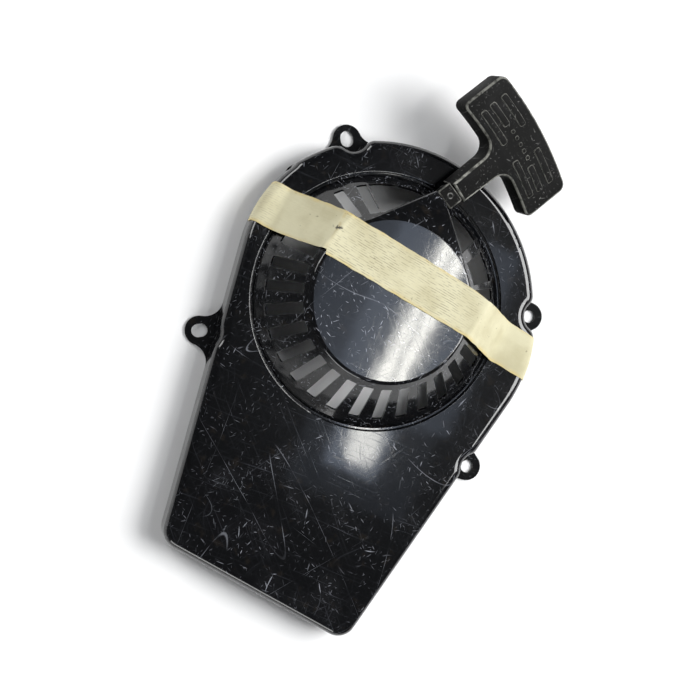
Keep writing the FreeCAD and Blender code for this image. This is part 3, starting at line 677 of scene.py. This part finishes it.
def grip_outline():
    """Plan of the T-shaped grip: x along the pull line, y to its left."""
    half, inner = bar_half_length, bar_inner
    corners = [
        (stem_start, -stem_start_width / 2, 0),
        (inner, -stem_end_width / 2, root_fillet),
        (inner, -half, bar_corner),
        (bar_outer, -half, bar_corner),
        (bar_outer, half, bar_corner),
        (inner, half, bar_corner),
        (inner, stem_end_width / 2, root_fillet),
        (stem_start, stem_start_width / 2, 0),
    ]
    return swept(divided(rounded(corners), 2 * MM))


def grip_relief():
    """Raised bars on one face of the grip: three on each half, and small pips between them."""
    middle = (bar_inner + bar_outer) / 2
    half_width = relief_width / 2
    bars = []
    for side in (-1, 1):
        for place, start, end in relief_bars:
            low, high = sorted((side * start, side * end))
            x = middle + place
            r = relief_width * 0.3
            bars.append([(x - half_width, low, r), (x + half_width, low, r),
                         (x + half_width, high, r), (x - half_width, high, r)])
    pip = 1.1 * MM
    for k in range(-2, 3):
        x, y = middle - 0.5 * MM, k * pip_spacing
        bars.append([(x - pip, y - pip, 0.8 * MM), (x + pip, y - pip, 0.8 * MM),
                     (x + pip, y + pip, 0.8 * MM), (x - pip, y + pip, 0.8 * MM)])
    verts, faces = [], []
    for corners in bars:
        outline = swept(divided(rounded(corners, 4), 2 * MM))
        low = bar_height / 2 - 0.6 * MM
        more, quads = moulding(outline, low, bar_height / 2 + relief_height, 0.3 * MM, False, 3)
        faces += [tuple(len(verts) + index for index in face) for face in quads]
        verts += more
    return verts, faces


def pull_frame(roll=0.0):
    """From x along the pull line, y to its left, z up, to the row frame."""
    return placed(pull_dir, pull_left, Z_AXIS, pull_foot) @ Matrix.Rotation(roll, 4, "X")


def make_grip():
    """T-shaped moulding with its raised bars, the rope's bore and the knot's pocket."""
    verts, faces = moulding(grip_outline(), -bar_height / 2, bar_height / 2, grip_edge)
    grip = new_piece("moulded_grip", verts, faces, plastic, "black_plastic")
    relief = new_piece("relief", *grip_relief(), plastic, "black_plastic")
    combine(grip, [relief], "UNION")
    holes = [
        peg("bore", grip_bore, stem_start - MM, bar_outer),
        peg("pocket", knot_pocket, knot_pocket_floor, bar_outer + 10 * MM),
    ]
    combine(grip, holes, "DIFFERENCE")
    grip.data.transform(pull_frame(grip_roll))
    finish_piece(grip, plastic, 35)
    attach(grip, "handle")
    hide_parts("starter_grip")


# ---------------------------------------------------------------- braided rope
def cord_mesh(path, lengths, up, closed=False, ends=True):
    """A rope of braided strands along a path; lengths give the braid's place along the rope."""
    around = rope_sides
    verts = []
    count = len(path)
    for index, here in enumerate(path):
        after = path[(index + 1) % count] if closed or index + 1 < count else here
        before = path[index - 1] if closed or index else here
        side = (after - before).normalized().cross(up).normalized()
        for k in range(around):
            angle = 2 * math.pi * k / around
            wrap = strand_pairs * angle
            wind = 2 * math.pi * lengths[index] / braid_pitch * strand_pairs / 2
            strand = max(math.cos((wrap + wind) / 2) ** 2, math.cos((wrap - wind) / 2) ** 2)
            radius = rope_radius * (0.90 + 0.10 * strand)
            verts.append(here + (side * math.cos(angle) + up * math.sin(angle)) * radius)
    faces = []
    for index in range(count if closed else count - 1):
        row, after_row = index * around, (index + 1) % count * around
        for k in range(around):
            after = (k + 1) % around
            faces.append((row + k, row + after, after_row + after, after_row + k))
    if not closed and ends:
        faces.append(tuple(reversed(range(around))))
        faces.append(tuple(range((count - 1) * around, count * around)))
    return verts, faces


def make_rope_coil():
    """Flat spiral in the reel's groove."""
    steps = coil_steps * rope_turns
    path, lengths, run = [], [], 0.0
    for index in range(steps + 1):
        turn = rope_turns * index / steps
        radius = rope_first_radius + rope_pitch * turn
        angle = leave_angle + 2 * math.pi * (rope_turns - turn)
        path.append(Vector((radius * math.cos(angle), radius * math.sin(angle), rope_z)))
        run += 2 * math.pi * radius / coil_steps
        lengths.append(run)
    coil = new_piece("wound_rope", *cord_mesh(path, lengths, Z_AXIS), cord, "braided_rope", 60)
    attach(coil, "reel")
    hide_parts("rope_coil")


def make_rope_lead():
    """From the coil through the guide to the knot.  Its rings crowd in the gap between guide and grip,
    so that the stretch which the pull draws out of the guide has its full length of braid."""
    leave = Vector((coil_radius * math.cos(leave_angle), coil_radius * math.sin(leave_angle), rope_z))
    first = (rope_mouth - leave).normalized()
    path = []
    start = leave + first * 0.7 * MM
    run_in = (rope_mouth - first * mouth_bend - start).length
    path += [start + first * run_in * k / 40 for k in range(41)]
    path += [rope_mouth - first * mouth_bend * (1 - k / 6) ** 2 + pull_dir * mouth_bend * (k / 6) ** 2
             for k in range(1, 7)]
    gap_start = pull_foot + pull_dir * draw_start
    gap_end = pull_foot + pull_dir * draw_end
    run_on = (gap_start - path[-1]).length
    base = path[-1]
    path += [base + pull_dir * run_on * k / 12 for k in range(1, 13)]
    lengths = [0.0]
    for index in range(1, len(path)):
        lengths.append(lengths[-1] + (path[index] - path[index - 1]).length)
    travel = pull_joint["range_m"][1]
    rings = int(travel / draw_ring_spacing)
    drawn_start = lengths[-1]
    for k in range(1, rings):
        share = k / rings
        place = 0.5 - math.sin(math.asin(1 - 2 * share) / 3)
        path.append(gap_start.lerp(gap_end, place))
        lengths.append(drawn_start + travel * share)
    last = pull_foot + pull_dir * (knot_pocket_floor + 1.2 * MM)
    tail = (last - gap_end).length
    for k in range(61):
        path.append(gap_end + pull_dir * tail * k / 60)
        lengths.append(drawn_start + travel + tail * k / 60)
    lead = new_piece("drawn_rope", *cord_mesh(path, lengths, Z_AXIS), cord, "braided_rope", 60)
    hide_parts("rope_lead")
    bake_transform(lead)


def make_knot():
    """Two turns round the rope's end, whose melted tip stands out of the knot."""
    verts, faces = [], []
    centre = pull_foot + pull_dir * (knot_pocket_floor + 4.65 * MM)
    ring = 2.5 * MM
    for shift, lean in ((-1.3 * MM, 0.06), (1.3 * MM, -0.06)):
        path, lengths = [], []
        for k in range(60):
            angle = 2 * math.pi * k / 60
            outward = pull_left * math.cos(angle) + Z_AXIS * math.sin(angle)
            path.append(centre + pull_dir * (shift + ring * lean * math.sin(angle)) + outward * ring)
            lengths.append(braid_pitch * 3 * k / 60)
        more, quads = cord_mesh(path, lengths, pull_dir, closed=True)
        faces += [tuple(len(verts) + index for index in face) for face in quads]
        verts += more
    path = [centre + pull_dir * (-3.2 * MM + 0.3 * MM * k) for k in range(24)]
    more, quads = cord_mesh(path, [0.3 * MM * k for k in range(24)], Z_AXIS)
    faces += [tuple(len(verts) + index for index in face) for face in quads]
    verts += more
    knot = new_piece("stopper_knot", verts, faces, cord, "braided_rope", 60)
    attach(knot, "handle")
    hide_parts("grip_knot")


# ---------------------------------------------------------------- masking tape
def tape_profile(left, right):
    """(distance along the tape, height) from the foot of the left wall to the foot of the right one."""
    top = face_z + tape_lift
    bend = cover_edge + tape_lift
    cap = disc_z + tape_lift
    half = []
    for side, wall in ((-1, left), (1, right)):
        run = [(wall, tape_end_z + (top - bend - tape_end_z) * k / 10) for k in range(10)]
        run += [(wall - bend * (1 - math.cos(a)), top - bend * (1 - math.sin(a)))
                for a in (math.pi / 2 * k / 12 for k in range(13))]
        face_run = wall - bend - tape_ring_crease
        run += [(wall - bend - face_run * k / 5, top) for k in range(1, 5)]
        run += [(tape_ring_crease + (tape_disc_crease - tape_ring_crease) * share, top + (cap - top) * share)
                for share in (k / 44 for k in range(44))]
        half.append([(side * x, z) for x, z in run])
    across = [(-tape_disc_crease + 2 * tape_disc_crease * k / 110, cap) for k in range(111)]
    return half[0] + across + half[1][::-1]


def softened(row, rounds):
    """The row of (distance, height) points with its corners rounded off a little."""
    for _ in range(rounds):
        inner = [((a[0] + 2 * b[0] + c[0]) / 4, (a[1] + 2 * b[1] + c[1]) / 4)
                 for a, b, c in zip(row, row[1:], row[2:])]
        row = [row[0]] + inner + [row[-1]]
    return row


def tape_edge(distance, side):
    """How far the tape's edge stands from its middle line: ragged, and pinched beside the left crease."""
    ragged = field.noise(Vector((distance * 180, side * 7.3, 2.0))) * 0.35 * MM
    pinch = 0.0
    if side < 0:
        gap = -tape_disc_crease + 1.5 * MM - distance
        pinch = 2.6 * MM * math.exp(-gap / (9 * MM)) if gap > 0 else 0.0
    else:
        gap = distance - tape_disc_crease
        pinch = 1.2 * MM * math.exp(-abs(gap) / (6 * MM))
        pinch += 0.8 * MM * max(0.0, min(1.0, (distance + 10 * MM) / (60 * MM)))
    return side * (tape_width / 2 - pinch + ragged)


def tape_wrinkle(distance, across):
    """Height of the wrinkles: a pleat at the left crease, ripples on the free spans, crepe on the cap."""
    lean = 0.20 * across
    pleat = 0.9 * MM * math.exp(-((distance + tape_disc_crease - 1.5 * MM - lean) / (1.1 * MM)) ** 2)
    fold = 0.45 * MM * math.exp(-((distance - tape_disc_crease - 0.12 * across) / (1.0 * MM)) ** 2)
    free = min(1.0, max(0.0, (abs(distance) - tape_disc_crease) / (8 * MM)))
    ripple = field.noise(Vector((distance * 110, across * 60, 5.0))) * 0.8 * MM * free
    crepe = abs(field.noise(Vector((distance * 900, across * 160, 9.0)))) * 0.10 * MM
    return pleat + fold + max(ripple, -0.1 * MM) + crepe + 0.05 * MM


def make_tape():
    """Crepe tape stuck down both walls and stretched from the cover's face up over the cap."""
    cover = frame["nodes"]["fan_cover"].data
    walls = BVHTree.FromPolygons([v.co for v in cover.vertices], [p.vertices for p in cover.polygons])
    along = Vector((math.cos(tape_tilt), math.sin(tape_tilt), 0))
    aside = Vector((-math.sin(tape_tilt), math.cos(tape_tilt), 0))
    middle = Vector((0, tape_centre_y, 0))
    rows = 41
    outside = 0.2                            # well past either wall
    verts = []
    for row in range(rows):
        share = 2 * row / (rows - 1) - 1
        reach = []
        for side in (-1, 1):
            far = middle + aside * share * tape_width / 2 + along * side * outside
            far = far + Z_AXIS * (tape_end_z + 2 * MM)
            hit = walls.ray_cast(far, -side * along)[0]
            reach.append(side * (hit - middle).dot(along) + tape_lift)
        line = softened(tape_profile(*reach), 4)
        for index, (distance, height) in enumerate(line):
            before, after = line[max(0, index - 1)], line[min(len(line) - 1, index + 1)]
            run = Vector((after[0] - before[0], after[1] - before[1])).normalized()
            lift = tape_wrinkle(distance, share * tape_width / 2)
            if height < face_z:
                lift = 0.05 * MM
            across = abs(share) * tape_edge(distance, math.copysign(1, share)) if share else 0.0
            spot = middle + along * (distance - run.y * lift) + aside * across
            verts.append(spot + Z_AXIS * (height + run.x * lift))
    count = len(verts) // rows
    faces = [(row * count + k, row * count + k + 1, (row + 1) * count + k + 1, (row + 1) * count + k)
             for row in range(rows - 1) for k in range(count - 1)]
    tape = new_piece("crepe_tape", verts, faces, paper, "masking_tape", 60)
    sheet = tape.modifiers.new("sheet", "SOLIDIFY")
    sheet.thickness = tape_sheet
    sheet.offset = 1.0
    apply_modifiers(tape)
    finish_piece(tape, paper, 60)
    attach(tape, "housing")
    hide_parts("masking_tape_label")


make_grip()
make_rope_coil()
make_rope_lead()
make_knot()
make_tape()


# ---------------------------------------------------------------- floor, light and camera
def make_floor():
    """A pale floor, self-lit far from the part, and seen through from below so that the rear shows."""
    bpy.ops.mesh.primitive_plane_add(size=floor_size)
    floor = bpy.context.object
    floor.name = "floor"
    f = Finish("pale_floor")
    grain = f.remap(f.noise(14, 4), 0.3, 0.7, 0.90, 0.94)
    far = f.remap(f.vector("LENGTH", f.place), 0.6, 3.0, 0.0, 0.62)
    f.set(Base_Color=f.mix(grain, (0.0, 0.0, 0.0), (1.0, 1.0, 1.0)), Roughness=0.9)
    f.set(Emission_Color=(0.95, 0.97, 1.0, 1.0), Emission_Strength=far)
    f.set(Alpha=f.math("SUBTRACT", 1.0, f.node("NewGeometry").outputs["Backfacing"]))
    floor.data.materials.append(f.material)


def area_light(name, place, aim, length, width, power, colour=(1, 1, 1)):
    lamp = bpy.data.lights.new(name, "AREA")
    lamp.shape = "RECTANGLE"
    lamp.size = length
    lamp.size_y = width
    lamp.energy = power
    lamp.color = colour
    holder = bpy.data.objects.new(name, lamp)
    bpy.context.scene.collection.objects.link(holder)
    look = (Vector(aim) - Vector(place)).to_track_quat("-Z", "Y").to_matrix().to_4x4()
    holder.matrix_world = Matrix.Translation(place) @ look
    return holder


camera_place = Vector((-0.1393, -0.0923, 0.6489))
camera_back = Vector((-0.2151, -0.0966, 0.9718)).normalized()
camera_up = Vector((-0.5105, 0.8594, -0.0276)).normalized()


def make_camera():
    lens = bpy.data.cameras.new("camera")
    lens.lens = 63.07
    lens.sensor_width = 36.0
    holder = bpy.data.objects.new("camera", lens)
    bpy.context.scene.collection.objects.link(holder)
    right = camera_up.cross(camera_back).normalized()
    holder.matrix_world = placed(right, camera_back.cross(right), camera_back, camera_place)
    bpy.context.scene.camera = holder


def mirror_point(spot, distance):
    """Where something must be for the camera to see it mirrored in a level surface at spot."""
    mirrored = Vector((camera_place.x, camera_place.y, 2 * spot.z - camera_place.z))
    return spot + (spot - mirrored).normalized() * distance


def mirrored_panel(name, start, end, width, power, colour, height, shift=0.0):
    """A light whose mirror image in the level face at that height runs from start to end, to the camera."""
    top = mirror_point(Vector((*start, height)), lamp_distance)
    low = mirror_point(Vector((*end, height)), lamp_distance)
    middle = (top + low) / 2
    down = (Vector((*panel_aim, height)) - middle).normalized()
    side = down.cross(top - low).normalized()
    along = side.cross(down)
    middle = middle + side * shift
    panel = area_light(name, middle, middle + down, (top - low).length, width, power, colour=colour)
    panel.matrix_world = placed(along, -side, -down, middle)


def make_world(fill, backdrop):
    """A faint bluish fill on the object, and a paler wall where the camera looks past the floor."""
    world = bpy.data.worlds.new("studio")
    world.use_nodes = True
    nodes = world.node_tree.nodes
    background = nodes["Background"]
    background.inputs["Color"].default_value = (0.92, 0.95, 1.0, 1)
    strength = nodes.new("ShaderNodeMapRange")
    strength.inputs["To Min"].default_value = fill
    strength.inputs["To Max"].default_value = backdrop
    seen = nodes.new("ShaderNodeLightPath").outputs["Is Camera Ray"]
    world.node_tree.links.new(seen, strength.inputs["Value"])
    world.node_tree.links.new(strength.outputs["Result"], background.inputs["Strength"])
    bpy.context.scene.world = world


def make_lights():
    """Two long tubes mirrored in the cap, dim bluish panels around them, and soft side panels."""
    warm = (1.0, 0.98, 0.90)
    cool = (0.66, 0.78, 1.0)
    for shift in (-tube_spacing / 2, tube_spacing / 2):
        mirrored_panel("tube", tube_top, tube_low, 0.011, 0.21, warm, disc_z, shift)
    panels = (                               # mirror image's ends, width and power, colour, mirroring face
        ("lamp_reflector", tube_top, tube_low, 0.045, 0.22, warm, disc_z),
        ("near_haze", (0.010, 0.046), (0.020, -0.050), 0.12, 0.11, cool, disc_z),
        ("wide_haze", (0.004, 0.052), (0.018, -0.052), 0.23, 0.18, cool, disc_z),
        ("chute_lamp", (0.029, -0.056), (0.034, -0.078), 0.032, 0.085, warm, face_z),
        ("chute_haze", (0.027, -0.050), (0.033, -0.086), 0.065, 0.045, cool, face_z),
        ("chute_far_haze", (0.030, -0.046), (0.038, -0.100), 0.150, 0.018, cool, face_z),
    )
    for panel in panels:
        mirrored_panel(*panel)
    area_light("right_panel", (1.55, 1.00, 1.9), (0, 0, 0), 1.8, 1.4, 92.0)
    area_light("left_panel", (-1.1, 0.3, 0.5), (0, 0, 0), 0.9, 0.4, 8.0)
    area_light("front_panel", (0.1, -1.4, 0.40), (0, 0, 0), 0.9, 0.4, 6.0)
    make_world(0.09, 0.75)
    bpy.context.scene.view_settings.view_transform = "Standard"


make_floor()
make_lights()
make_camera()
